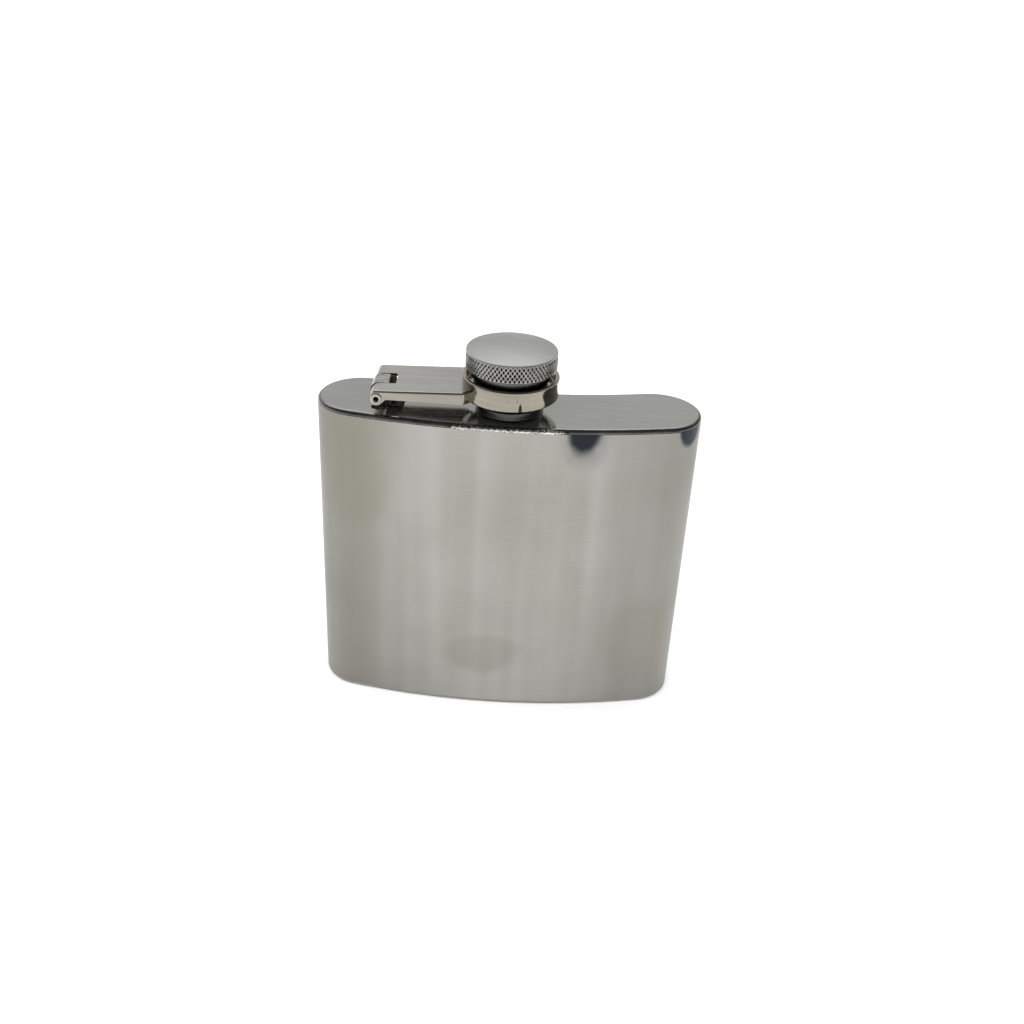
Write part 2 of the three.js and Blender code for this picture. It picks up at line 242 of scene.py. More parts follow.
def prism(name, outline, low, high, material, across_y=False):
    """An outline raised from low to high: drawn in X and Y, or in X and Z and raised across Y."""
    outline = np.array(outline, float)
    count = len(outline)
    rows = []
    for level in (low, high):
        column = np.full(count, level)
        if across_y:
            rows.append(np.stack([outline[:, 0], column, outline[:, 1]], 1))
        else:
            rows.append(np.stack([outline[:, 0], outline[:, 1], column], 1))
    faces = grid_faces(2, count) + [tuple(range(count - 1, -1, -1)), tuple(range(count, 2 * count))]
    obj = make_object(name, np.vstack(rows), faces, material)
    bm = bmesh.new()
    bm.from_mesh(obj.data)
    bmesh.ops.recalc_face_normals(bm, faces=bm.faces)
    bm.to_mesh(obj.data)
    bm.free()
    return obj


# ---------------------------------------------------------------- the curved section

FRONT_STEPS = 120
END_STEPS = 60
HOLE_STEPS = 96


def section():
    """Points and outward normals round the kidney-shaped section, and the length walked to each,
    from the sheet's own seam at the end away from the hinge."""
    runs = [
        (0, BEND_CENTRE_Y, BEND_RADIUS + END_RADIUS, -90, -1, 1, 1, FRONT_STEPS),
        (END_X, END_Y, END_RADIUS, 0, -90, 90, 1, END_STEPS),
        (0, BEND_CENTRE_Y, BEND_RADIUS - END_RADIUS, -90, 1, -1, -1, FRONT_STEPS),
        (-END_X, END_Y, END_RADIUS, 180, -90, 90, 1, END_STEPS),
    ]
    bend = math.degrees(BEND_ANGLE)
    points, normals = [], []
    for x, y, radius, middle, first, last, facing, steps in runs:
        if abs(first) == 1:
            angles = np.linspace(middle + first * bend, middle + last * bend, steps, endpoint=False)
        else:
            lean = bend if x > 0 else -bend
            angles = np.linspace(middle + first + lean, middle + last + lean, steps, endpoint=False)
        angles = np.radians(angles)
        direction = np.stack([np.cos(angles), np.sin(angles)], 1)
        points.append(np.array([x, y]) + direction * radius)
        normals.append(direction * facing)
    start = -(FRONT_STEPS + END_STEPS // 2)
    points = np.roll(np.vstack(points), start, axis=0)
    normals = np.roll(np.vstack(normals), start, axis=0)
    walked = np.concatenate([[0], np.cumsum(np.linalg.norm(np.diff(points, axis=0), axis=1))])
    return points, normals, walked


def round_section(name, outline, material, wrap=True):
    """Sweeps an outline of (inset, height) round the section, and gives it a map in millimetres."""
    base, normals, walked = section()
    rows = [np.column_stack([base - normals * inset, np.full(len(base), z)]) for inset, z in outline]
    faces = grid_faces(len(rows), len(base), wrap_rows=wrap)
    obj = make_object(name, np.vstack(rows), faces, material)
    total = walked[-1] + np.linalg.norm(base[0] - base[-1])
    layer = obj.data.uv_layers.new(name="sheet")
    count = len(base)
    for polygon in obj.data.polygons:
        columns = [obj.data.loops[k].vertex_index % count for k in polygon.loop_indices]
        closes = max(columns) - min(columns) > 1
        for k, column in zip(polygon.loop_indices, columns):
            along = total if closes and column == 0 else walked[column]
            height = obj.data.vertices[obj.data.loops[k].vertex_index].co.z / MM
            layer.data[k].uv = (along / 100, height / 100)
    return obj


# ---------------------------------------------------------------- materials

def new_material(name):
    material = bpy.data.materials.new(name)
    material.use_nodes = True
    nodes = material.node_tree.nodes
    return material, nodes, material.node_tree.links, nodes["Principled BSDF"]


def math_node(nodes, links, operation, first, second=None, third=None):
    node = nodes.new("ShaderNodeMath")
    node.operation = operation
    for socket, value in zip(node.inputs, (first, second, third)):
        if value is None:
            continue
        if isinstance(value, (int, float)):
            socket.default_value = value
        else:
            links.new(value, socket)
    return node.outputs[0]


def noise_node(nodes, links, vector, scale, detail=3.0, roughness=0.55):
    node = nodes.new("ShaderNodeTexNoise")
    node.inputs["Scale"].default_value = scale
    node.inputs["Detail"].default_value = detail
    node.inputs["Roughness"].default_value = roughness
    links.new(vector, node.inputs["Vector"])
    return node.outputs["Fac"]


def stretched(nodes, links, vector, scale):
    node = nodes.new("ShaderNodeMapping")
    node.inputs["Scale"].default_value = scale
    links.new(vector, node.inputs["Vector"])
    return node.outputs["Vector"]


def remap(nodes, links, value, low, high, to_low, to_high):
    node = nodes.new("ShaderNodeMapRange")
    node.interpolation_type = "SMOOTHSTEP"
    for socket, number in zip(node.inputs[1:5], (low, high, to_low, to_high)):
        socket.default_value = number
    links.new(value, node.inputs[0])
    return node.outputs[0]


def mix_colour(nodes, links, factor, first, second):
    node = nodes.new("ShaderNodeMix")
    node.data_type = "RGBA"
    links.new(factor, node.inputs["Factor"])
    for socket, value in ((node.inputs[6], first), (node.inputs[7], second)):
        if isinstance(value, tuple):
            socket.default_value = (*value, 1)
        else:
            links.new(value, socket)
    return node.outputs[2]


def steel(name, dark, light, roughness, grain, cloud, spread, bump, specks=0.0, metal=1.0, marks=()):
    """Steel with a fine grain: streaks stretched by grain, clouds of tone cloud metres wide, a roughness
    that varies by spread, a grain bump in millimetres, dark specks, and dark marks of a given centre
    and radii."""
    material, nodes, links, shader = new_material(name)
    place = nodes.new("ShaderNodeTexCoord").outputs["Object"]
    streaks = noise_node(nodes, links, stretched(nodes, links, place, grain), 1.0, 4.0)
    clouds = noise_node(nodes, links, place, 1 / cloud, 2.0)
    slow = math_node(nodes, links, "MULTIPLY", clouds, 0.45)
    tone = math_node(nodes, links, "MULTIPLY_ADD", streaks, 0.55, slow)
    factor = remap(nodes, links, tone, 0.3, 0.7, 0.0, 1.0)
    colour = mix_colour(nodes, links, factor, dark, light)
    if specks:
        pits = noise_node(nodes, links, place, 1400.0, 2.0)
        pitted = remap(nodes, links, pits, 0.7 - specks, 0.72 - specks, 0.0, 0.85)
        colour = mix_colour(nodes, links, pitted, colour, SPECK)
    for centre, radius in marks:
        share = remap(nodes, links, spot(nodes, links, place, centre, radius), 0.8, 1.05, 0.95, 0.0)
        colour = mix_colour(nodes, links, share, colour, MARK)
    links.new(colour, shader.inputs["Base Color"])
    links.new(remap(nodes, links, streaks, 0.25, 0.75, roughness - spread / 2, roughness + spread / 2),
              shader.inputs["Roughness"])
    shader.inputs["Metallic"].default_value = metal
    relief = nodes.new("ShaderNodeBump")
    relief.inputs["Strength"].default_value = 1.0
    relief.inputs["Distance"].default_value = bump * MM
    links.new(streaks, relief.inputs["Height"])
    links.new(relief.outputs[0], shader.inputs["Normal"])
    return material


def spot(nodes, links, place, centre, radius):
    """Distance from the centre of an ellipsoid, 1 at its edge."""
    offset = nodes.new("ShaderNodeVectorMath")
    offset.operation = "SUBTRACT"
    offset.inputs[1].default_value = tuple(c * MM for c in centre)
    links.new(place, offset.inputs[0])
    scaled = stretched(nodes, links, offset.outputs[0], tuple(1 / (r * MM) for r in radius))
    length = nodes.new("ShaderNodeVectorMath")
    length.operation = "LENGTH"
    links.new(scaled, length.inputs[0])
    return length.outputs["Value"]


def wall_steel(name, dark_patches):
    """The wrapped sheet: brushed along its length, with slow tone bands, ends darkened as painted shade,
    darker patches low down and at the left end, and painted reflections of dark things near the top."""
    material, nodes, links, shader = new_material(name)
    place = nodes.new("ShaderNodeTexCoord").outputs["Object"]
    sheet = nodes.new("ShaderNodeUVMap")
    sheet.uv_map = "sheet"
    sheet = sheet.outputs[0]
    fine = noise_node(nodes, links, stretched(nodes, links, sheet, (10, 1100, 1)), 1.0, 5.0, 0.65)
    bands = noise_node(nodes, links, stretched(nodes, links, sheet, (9, 0.5, 1)), 1.0, 2.0)
    clouds = noise_node(nodes, links, place, 24.0, 3.0)
    tone = math_node(nodes, links, "MULTIPLY", fine, 0.25)
    tone = math_node(nodes, links, "MULTIPLY_ADD", bands, 0.4, tone)
    tone = math_node(nodes, links, "MULTIPLY_ADD", clouds, 0.35, tone)
    factor = remap(nodes, links, tone, 0.36, 0.64, 0.0, 1.0)
    colour = mix_colour(nodes, links, factor, WALL_DARK, WALL_LIGHT)
    split = nodes.new("ShaderNodeSeparateXYZ")
    links.new(place, split.inputs[0])
    outward = math_node(nodes, links, "ABSOLUTE", split.outputs[0])
    # Painted shade: the colour darkens towards both ends.
    ends = remap(nodes, links, outward, WALL_END_FROM * MM, WALL_END_TO * MM, 0.0, 0.52)
    colour = mix_colour(nodes, links, ends, colour, WALL_END_SHADE)
    ragged = noise_node(nodes, links, place, 90.0, 4.0, 0.6)
    # Darker patches, and painted reflections of dark things near the top.
    for centre, radius, patch_colour, depth, soft in dark_patches:
        distance = spot(nodes, links, place, centre, radius)
        reach = math_node(nodes, links, "MULTIPLY_ADD", ragged, 3 * soft, distance)
        edge = 1 + 1.5 * soft
        share = remap(nodes, links, reach, edge - soft, edge + soft, depth, 0.0)
        colour = mix_colour(nodes, links, share, colour, patch_colour)
    links.new(colour, shader.inputs["Base Color"])
    links.new(remap(nodes, links, tone, 0.3, 0.7, 0.44, 0.34), shader.inputs["Roughness"])
    shader.inputs["Metallic"].default_value = 1.0
    shader.inputs["Anisotropic"].default_value = 0.5
    tangent = nodes.new("ShaderNodeTangent")
    tangent.direction_type = "UV_MAP"
    tangent.uv_map = "sheet"
    links.new(tangent.outputs[0], shader.inputs["Tangent"])
    relief = nodes.new("ShaderNodeBump")
    relief.inputs["Strength"].default_value = 1.0
    relief.inputs["Distance"].default_value = 0.003 * MM
    links.new(fine, relief.inputs["Height"])
    links.new(relief.outputs[0], shader.inputs["Normal"])
    return material


def silicone():
    """Milky rubber, faintly clouded."""
    material, nodes, links, shader = new_material("seal_silicone")
    place = nodes.new("ShaderNodeTexCoord").outputs["Object"]
    clouds = noise_node(nodes, links, place, 500.0, 3.0)
    factor = remap(nodes, links, clouds, 0.35, 0.65, 0.0, 1.0)
    colour = mix_colour(nodes, links, factor, (0.66, 0.65, 0.6), (0.75, 0.74, 0.7))
    links.new(colour, shader.inputs["Base Color"])
    links.new(remap(nodes, links, clouds, 0.3, 0.7, 0.5, 0.65), shader.inputs["Roughness"])
    return material


SPECK = (0.02, 0.018, 0.015)
MARK = (0.012, 0.012, 0.012)
WALL_DARK = (0.3, 0.293, 0.267)
WALL_LIGHT = (0.392, 0.39, 0.37)
WALL_END_SHADE = (0.15, 0.145, 0.127)
# Painted shade: the wall darkens towards its ends between these distances from the middle, in millimetres,
# standing in for the darker reflections of its curved ends.
WALL_END_FROM = 12
WALL_END_TO = 40
# Darker patches low down and at the left end, and painted reflections near the top: a bluish halo and two
# blue-black blotches that stand for dark things mirrored in the steel. Each has centre and radii in
# millimetres, colour, strength, softness of the edge.
DARK_PATCHES_AND_PAINTED_REFLECTIONS = (
    ((-4, -12, 16), (9.0, 9.0, 6.0), (0.26, 0.245, 0.215), 0.42, 0.28),
    ((37, -9, 19), (9.0, 9.0, 13.0), (0.24, 0.228, 0.19), 0.36, 0.3),
    ((-35, -9, 66), (8.0, 9.0, 16.0), (0.22, 0.205, 0.155), 0.42, 0.55),
    # The last three are painted reflections: a bluish halo and two blue-black blotches.
    ((18.3, -11, 78.5), (5.2, 9.0, 7.5), (0.15, 0.155, 0.165), 0.55, 0.45),
    ((17.8, -11, 80.5), (3.9, 9.0, 6.9), (0.016, 0.019, 0.025), 0.97, 0.24),
    ((42.7, -5, 80.4), (2.9, 6.0, 5.8), (0.02, 0.026, 0.038), 0.95, 0.16),
)
# The small dark mark on the collar's lower edge: centre and radii.
COLLAR_MARK = ((2.6, -12.6, 84.5), (0.42, 2.0, 2.0))

WALL = wall_steel("wall_steel", DARK_PATCHES_AND_PAINTED_REFLECTIONS)
PLATE = steel("plate_steel", (0.273, 0.272, 0.258), (0.316, 0.314, 0.299),
              0.1, (60, 500, 400), 0.03, 0.03, 0.0002, metal=0.93)
# The rounded rim's darker colour is a painted reflection of the dark studio above and in front.
RIM_PAINTED_DARK = steel("rim_steel_painted_reflection", (0.1, 0.1, 0.1), (0.24, 0.238, 0.23), 0.12, (700, 700, 700), 0.01, 0.08, 0.001)
SEAM = steel("seam_steel", (0.27, 0.265, 0.245), (0.36, 0.355, 0.335),
             0.34, (500, 500, 500), 0.01, 0.1, 0.002)
# The weld's near-white speckle is partly its own spatter and partly painted glints.
WELD_AND_GLINTS = steel("weld_steel_painted_glints", (0.16, 0.155, 0.145), (0.8, 0.79, 0.76),
             0.25, (1400, 1400, 1400), 0.003, 0.2, 0.03)
# Painted contact shadow for the bottom edge's rounding.
CONTACT_SHADOW = steel("bottom_edge_painted_shadow", (0.06, 0.058, 0.05), (0.16, 0.155, 0.14),
                  0.35, (500, 500, 500), 0.01, 0.1, 0.002)
# The neck's near-black colour is painted shade under the collar.
NECK_PAINTED_SHADE = steel("neck_steel", (0.05, 0.05, 0.05), (0.1, 0.1, 0.097), 0.3, (80, 80, 2500), 0.02, 0.1, 0.002)
HINGE = steel("hinge_steel", (0.2, 0.19, 0.17), (0.42, 0.405, 0.365),
              0.25, (700, 700, 700), 0.01, 0.16, 0.006)
# Near black: weld scorch, and painted shade under the rim, in the seam and in the bracket's hidden corners.
SCORCH_AND_SHADE = steel("scorch_and_painted_shade_steel", (0.012, 0.011, 0.01), (0.1, 0.09, 0.075),
              0.4, (900, 900, 900), 0.004, 0.2, 0.03)
ARM = steel("arm_steel", (0.29, 0.282, 0.258), (0.37, 0.362, 0.336),
            0.26, (60, 900, 700), 0.02, 0.06, 0.001)
# A darker copy of the arm's steel, painted shade for its sides.
FLANGE_SHADE = steel("flange_steel_painted_shade", (0.25, 0.236, 0.203), (0.31, 0.296, 0.256),
               0.24, (60, 900, 700), 0.02, 0.06, 0.001)
COLLAR = steel("collar_steel", (0.235, 0.217, 0.18), (0.3, 0.28, 0.235),
               0.1, (70, 70, 900), 0.015, 0.06, 0.001, specks=0.015, marks=(COLLAR_MARK,))
CAP = steel("cap_steel", (0.295, 0.295, 0.282), (0.375, 0.375, 0.36),
            0.36, (80, 1500, 500), 0.02, 0.06, 0.001)
KNURL = steel("knurl_steel", (0.22, 0.216, 0.2), (0.35, 0.346, 0.326),
              0.11, (700, 700, 700), 0.01, 0.06, 0.001)
# Painted shade in the knurling's pits.
PIT_SHADE = steel("knurl_pit_painted_shade", (0.05, 0.05, 0.045), (0.12, 0.12, 0.11),
               0.35, (900, 900, 900), 0.01, 0.1, 0.002)
# Painted shade: the sleeve and the cap's shank and inside are darkened.
INSERT_PAINTED_SHADE = steel("insert_steel", (0.1, 0.1, 0.1), (0.18, 0.18, 0.175),
               0.25, (80, 80, 2000), 0.01, 0.1, 0.002)
SILICONE = silicone()


# ---------------------------------------------------------------- body

def wall_profile():
    """Outline of the wrapped sheet, with its cut edges eased towards the welds."""
    ease = 0.03
    heights = np.linspace(SEAM_BOTTOM + ease, SEAM_TOP - ease, 40)
    outer = [(ease, SEAM_BOTTOM)] + [(0.0, z) for z in heights] + [(ease, SEAM_TOP)]
    inner = [(SHEET, SEAM_TOP), (SHEET, SEAM_BOTTOM)]
    return outer + inner


def plate_profile(face, seam, sign):
    """Outline of an end plate's turned edge, from its flat face round to the same place inside."""
    ease = 0.03
    turn = [(EDGE_RADIUS - EDGE_RADIUS * math.sin(a), face - sign * EDGE_RADIUS * (1 - math.cos(a)))
            for a in np.linspace(0, math.pi / 2, 13)]
    foot = [(0.0, seam + sign * ease), (ease, seam)]
    inside = EDGE_RADIUS - SHEET
    back = [(EDGE_RADIUS - inside * math.sin(a), face - sign * (SHEET + inside * (1 - math.cos(a))))
            for a in np.linspace(math.pi / 2, 0, 5)]
    return [(EDGE_RADIUS + 0.15, face)] + turn + foot + [(SHEET, seam)] + back + [
        (EDGE_RADIUS + 0.15, face - sign * SHEET)]


def end_plate(name, face, seam, sign, material, hole=None):
    """A pressed end plate: its turned edge swept round the section, its two faces filled in."""
    outline = plate_profile(face, seam, sign)
    obj = round_section(name, outline, material, wrap=False)
    mesh = obj.data
    bm = bmesh.new()
    bm.from_mesh(mesh)
    bm.verts.ensure_lookup_table()
    count = len(section()[0])
    rims = []
    for row, z in ((0, face), (len(outline) - 1, face - sign * SHEET)):
        loop = [bm.verts[row * count + k] for k in range(count)]
        edges = [bm.edges.get((loop[k], loop[(k + 1) % count])) for k in range(count)]
        if hole:
            angles = np.linspace(0, 2 * math.pi, HOLE_STEPS, endpoint=False)
            ring = [bm.verts.new((hole * math.cos(a) * MM, (AXIS_Y + hole * math.sin(a)) * MM, z * MM))
                    for a in angles]
            rims.append(ring)
            edges += [bm.edges.new((ring[k], ring[(k + 1) % HOLE_STEPS])) for k in range(HOLE_STEPS)]
            bm.verts.ensure_lookup_table()
        bmesh.ops.triangle_fill(bm, edges=edges, use_beauty=True, use_dissolve=False)
    if hole:
        for k in range(HOLE_STEPS):
            m = (k + 1) % HOLE_STEPS
            bm.faces.new((rims[0][k], rims[0][m], rims[1][m], rims[1][k]))
    bm.to_mesh(mesh)
    bm.free()
    return shade(obj)


BEAD_STEP = 0.12
RAGGED_HALF = 15
GLINT_HALF = 13


def seam_bead(name, height, material, inset, size, ragged_share):
    """The weld round the body: a low bead sunk in the seam, ragged where the front is not ground."""
    base, normals, walked = section()
    fine = np.interp(np.arange(0, walked[-1], BEAD_STEP), walked, np.arange(len(walked)))
    low = np.floor(fine).astype(int)
    part = (fine - low)[:, None]
    following = (low + 1) % len(base)
    points = base[low] * (1 - part) + base[following] * part
    facing = normals[low] * (1 - part) + normals[following] * part
    facing /= np.linalg.norm(facing, axis=1)[:, None]
    along = np.arange(len(points)) * BEAD_STEP
    ripple = 0.5 * np.sin(along * 7.1 + 1.3 * np.sin(along * 1.7))
    ripple += 0.3 * np.sin(along * 13.7 + 2)
    ripple += 0.2 * np.sin(along * 3.1 + 1)
    front = points[:, 1] < AXIS_Y
    ragged = np.clip((RAGGED_HALF - np.abs(points[:, 0])) / 5, 0, 1) * front * ragged_share
    swell = ragged * (0.2 + 0.1 * ripple)
    shift = ragged * 0.1 * np.sin(along * 4.3 + 0.7 * np.sin(along * 9.0))
    rows = []
    for a in np.linspace(0, 2 * math.pi, 12, endpoint=False):
        reach = size * (1 + 0.05 * ripple) + swell
        rows.append(np.column_stack([
            points + facing * (reach * math.cos(a) - inset)[:, None],
            height + shift + reach * math.sin(a)]))
    faces = grid_faces(len(rows), len(points), wrap_rows=True)
    return shade(make_object(name, np.vstack(rows), faces, material), 80)


def side_seam(material):
    """The sheet's own welded seam, ground nearly flush down the end away from the hinge."""
    x = WALL_HIGH[0]
    heights = np.linspace(SEAM_BOTTOM + 0.3, SEAM_TOP - 0.3, 240)
    ripple = 0.5 * np.sin(heights * 5.3) + 0.5 * np.sin(heights * 8.9 + 1)
    rows = []
    for a in np.linspace(0, 2 * math.pi, 8, endpoint=False):
        rows.append(np.column_stack([
            x - 0.1 + 0.115 * math.cos(a) + 0.006 * ripple,
            END_Y + 0.35 * math.sin(a) + 0.02 * ripple,
            heights]))
    count = len(heights)
    faces = grid_faces(len(rows), count, wrap_rows=True, wrap_columns=False)
    faces.append(tuple(k * count for k in range(len(rows))))
    faces.append(tuple(k * count + count - 1 for k in range(len(rows) - 1, -1, -1)))
    return shade(make_object("side_seam", np.vstack(rows), faces, material), 80)


def paint(obj, materials, choose):
    """Adds materials to a piece, and gives each face the one whose place in the list choose returns."""
    for material in materials:
        obj.data.materials.append(material)
    for polygon in obj.data.polygons:
        polygon.material_index = choose(polygon)
    return obj


def top_part(polygon):
    """0 on the flat, 1 on the rounded rim, darkened as a painted reflection, 2 on the upright below it,
    painted near black as weld scorch and painted shade.
    """
    tilt = polygon.normal.z
    if 0.1 < tilt < 0.97:
        return 1
    return 2 if abs(tilt) <= 0.1 else 0


def bottom_part(polygon):
    """1 on the rounding that nearly touches the ground, painted dark as contact shadow."""
    low = polygon.center.z < (BOTTOM + 0.6 * EDGE_RADIUS) * MM
    return int(low and polygon.normal.z > -0.98)


def bead_part(polygon):
    """0 at the middle of the front, where the weld is speckled with its own spatter and painted glints, and 1
    elsewhere, where it is scorched and painted dark as shade.
    """
    bright = abs(polygon.center.x) < GLINT_HALF * MM and polygon.center.y < AXIS_Y * MM
    return 0 if bright else 1


def build_body():
    wall = shade(round_section("wall", wall_profile(), WALL))
    top = end_plate("top", TOP, SEAM_TOP, 1, PLATE, hole=NECK_HOLE)
    paint(top, (RIM_PAINTED_DARK, SCORCH_AND_SHADE), top_part)
    bottom = end_plate("bottom", BOTTOM, SEAM_BOTTOM, -1, PLATE)
    paint(bottom, (CONTACT_SHADOW,), bottom_part)
    bead = seam_bead("seam_top", SEAM_TOP + 0.25, WELD_AND_GLINTS, 0.42, 0.36, 1.0)
    paint(bead, (SCORCH_AND_SHADE,), bead_part)
    pieces = [
        (wall, "body_wall", "wall_steel"),
        (top, "top_plate", "plate_steel"),
        (bottom, "bottom_plate", "plate_steel"),
        (bead, None, "plate_steel"),
        (seam_bead("seam_bottom", SEAM_BOTTOM, SEAM, 0.3, 0.28, 0.0), None, "plate_steel"),
        (side_seam(SEAM), None, "wall_steel"),
    ]
    for piece, node, slot in pieces:
        place_piece(piece, "flask", node)


def place_piece(piece, body, node=None):
    """Puts a piece on a body, and in place of a CAD node."""
    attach(piece, body)
    if node:
        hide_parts(node)


# ---------------------------------------------------------------- neck and cap

def tooth(height, angle, zero):
    """Height of a thread's ridge, 0 to 1, at a place on the screw."""
    offset = np.mod(height - zero - PITCH * angle / (2 * math.pi) + PITCH / 2, PITCH) - PITCH / 2
    half, flat = THREAD_BASE / 2, THREAD_CREST / 2
    return np.clip((half - np.abs(offset)) / (half - flat), 0, 1)


def faded(height, low, high):
    """1 along a thread, falling to 0 where it starts and ends."""
    rising = np.clip((height - low) / THREAD_FADE, 0, 1)
    return rising * np.clip((high - height) / THREAD_FADE, 0, 1)


def build_neck():
    """The spout: spigot, weld fillet, plain part, thread and rounded rim."""
    low = TOP + NECK_SHOULDER + 0.1
    high = NECK_HIGH[2] - 0.12
    bottom = NECK_LOW[2]
    rim = NECK_HIGH[2]
    outline = [(NECK_BORE, bottom), (NECK_SPIGOT, bottom), (NECK_SPIGOT, TOP + 0.01)]
    outline += [(8.0, TOP + 0.01), (8.05, TOP + 0.08), (7.95, TOP + 0.2), (7.78, TOP + 0.3)]
    outline += corner((NECK_RADIUS + 0.25, TOP + 0.62), 0.25, 250, 180, 4)
    outline += [(NECK_RADIUS, TOP + 1.2)]
    outline += corner((NECK_RADIUS - 0.25, TOP + NECK_SHOULDER - 0.25), 0.25, 0, 80, 5)
    outline += [(THREAD_MINOR, z) for z in np.arange(low, high, 0.045)]
    outline += corner((NECK_BORE + 0.5, rim - 0.5), 0.5, 70, 180, 8)
    outline += [(NECK_BORE, z) for z in np.linspace(rim - 1.2, bottom + 0.4, 5)]

    def relief(radius, angle, height):
        ridge = tooth(height - TOP, angle, THREAD_ZERO) * faded(height, low, high)
        on_thread = np.abs(radius - THREAD_MINOR) < 1e-6
        return radius + on_thread * THREAD_HEIGHT * ridge

    # Painted shade: the spout's steel is near black.
    neck = turned("spout", outline, NECK_PAINTED_SHADE, 144, relief=relief)
    place_piece(neck, "flask", "neck")


def build_insert():
    """The threaded sleeve in the cap, with its lip under the collar's floor."""
    root = THREAD_MINOR + THREAD_HEIGHT + THREAD_CLEARANCE
    bottom, top = INSERT_LOW[2], INSERT_HIGH[2]
    ceiling = SEAL_HIGH[2] + 0.2
    high = SEAL_LOW[2] - 0.05
    outline = [(0, ceiling), (root - 0.3, ceiling), (root, ceiling - 0.3)]
    outline += [(root, z) for z in np.linspace(high + 0.05, bottom + 0.12, 36)]
    outline += corner((LIP_RADIUS - 0.25, bottom + 0.25), 0.25, 270, 360, 5)
    outline += corner((LIP_RADIUS - 0.12, bottom + 0.68), 0.12, 0, 90, 4)
    outline += [(SLEEVE_RADIUS + 0.1, bottom + 0.8), (SLEEVE_RADIUS, bottom + 0.9), (SLEEVE_RADIUS, top),
                (SLEEVE_RADIUS - 0.9, top), (SLEEVE_RADIUS - 0.9, ceiling + 0.9), (0, ceiling + 0.9)]

    def relief(radius, angle, height):
        ridge = tooth(height - TOP, angle, THREAD_ZERO + PITCH / 2) * faded(height, bottom + 0.1, high)
        on_thread = np.abs(radius - root) < 1e-6
        return radius - on_thread * THREAD_HEIGHT * ridge

    insert = turned("cap_sleeve", outline, INSERT_PAINTED_SHADE, 144, relief=relief)
    place_piece(insert, "cap", "cap_insert")


def build_seal():
    """The loose washer, slightly dished round its middle."""
    low, high = SEAL_LOW[2], SEAL_HIGH[2]
    radius = (SEAL_HIGH[0] - SEAL_LOW[0]) / 2
    outline = [(0, low + 0.08), (5.3, low + 0.08), (5.6, low)]
    outline += corner((radius - 0.2, low + 0.2), 0.2, 270, 360, 5)
    outline += corner((radius - 0.2, high - 0.2), 0.2, 0, 90, 5)
    outline += [(0, high)]
    place_piece(turned("washer", outline, SILICONE, 96), "seal", "cap_seal")


CAP_RADIUS = (CAP_HIGH[0] - CAP_LOW[0]) / 2


def cap_outline():
    """The cap from the middle of its ceiling down its bore, up its shank and band, and over its dome."""
    bottom = CAP_LOW[2]
    ceiling = CAP_BAND_TOP - CAP_TOP_THICKNESS
    outline = [(0, ceiling), (CAP_BORE - 0.3, ceiling), (CAP_BORE, ceiling - 0.3), (CAP_BORE, bottom + 0.1),
               (CAP_BORE + 0.1, bottom), (CAP_SHANK - 0.12, bottom), (CAP_SHANK, bottom + 0.12)]
    outline += [(CAP_SHANK, z) for z in np.linspace(bottom + 0.5, CAP_SKIRT - 0.1, 5)]
    outline += corner((CAP_SHANK + 0.12, CAP_SKIRT - 0.12), 0.12, 180, 90, 3)[1:]
    outline += [(CAP_RADIUS - 0.45, CAP_SKIRT), (CAP_RADIUS - 0.3, CAP_SKIRT + 0.05)]
    outline += [(CAP_RADIUS, z) for z in np.linspace(CAP_SKIRT + 0.3, CAP_BAND_TOP - 0.25, 42)]
    outline += corner((CAP_RADIUS - 0.3, CAP_BAND_TOP - 0.05), 0.2, 0, 70, 6)
    edge, level = outline[-1]
    rise = CAP_HIGH[2] - level
    outline += [(edge * part, level + rise * (1 - part * part)) for part in np.linspace(0.985, 0, 22)]
    return outline


def knurl(radii, angle, height):
    """The band's surface: two families of ridges that cross, with pits between them."""
    spacing = 2 * math.pi * CAP_RADIUS / KNURLS
    turn = angle * KNURLS / (2 * math.pi)
    climb = (height - CAP_SKIRT) / (spacing * math.tan(KNURL_ANGLE))
    first = np.abs(np.mod(turn + climb, 1) - 0.5) * 2
    second = np.abs(np.mod(turn - climb, 1) - 0.5) * 2
    high = 1 - np.clip(1.7 * np.minimum(first, second) - 0.42, 0, 1)
    fade = np.clip((height - CAP_SKIRT - 0.4) / 0.12, 0, 1)
    fade = fade * np.clip((CAP_BAND_TOP - 0.25 - height) / 0.05, 0, 1)
    knurled = (np.abs(radii - CAP_RADIUS) < 1e-6) * fade
    return radii - knurled * KNURL_DEPTH * (1 - high)


def cap_part(polygon):
    """0 on the dome, 1 on the shank and inside, painted dark as shade, 2 on the knurling's ridges, 3 in
    its pits, painted dark as shade.
    """
    height = polygon.center.z / MM
    if height < CAP_SKIRT + 0.02:
        return 1
    if height >= CAP_BAND_TOP - 0.2:
        return 0
    reach = math.hypot(polygon.center.x / MM, polygon.center.y / MM - AXIS_Y)
    return 3 if reach < CAP_RADIUS - 0.5 * KNURL_DEPTH else 2


def build_cap():
    cap = shade(turned("cap_head", cap_outline(), CAP, KNURLS * 10, relief=knurl), 28)
    paint(cap, (INSERT_PAINTED_SHADE, KNURL, PIT_SHADE), cap_part)
    place_piece(cap, "cap", "cap_shell")


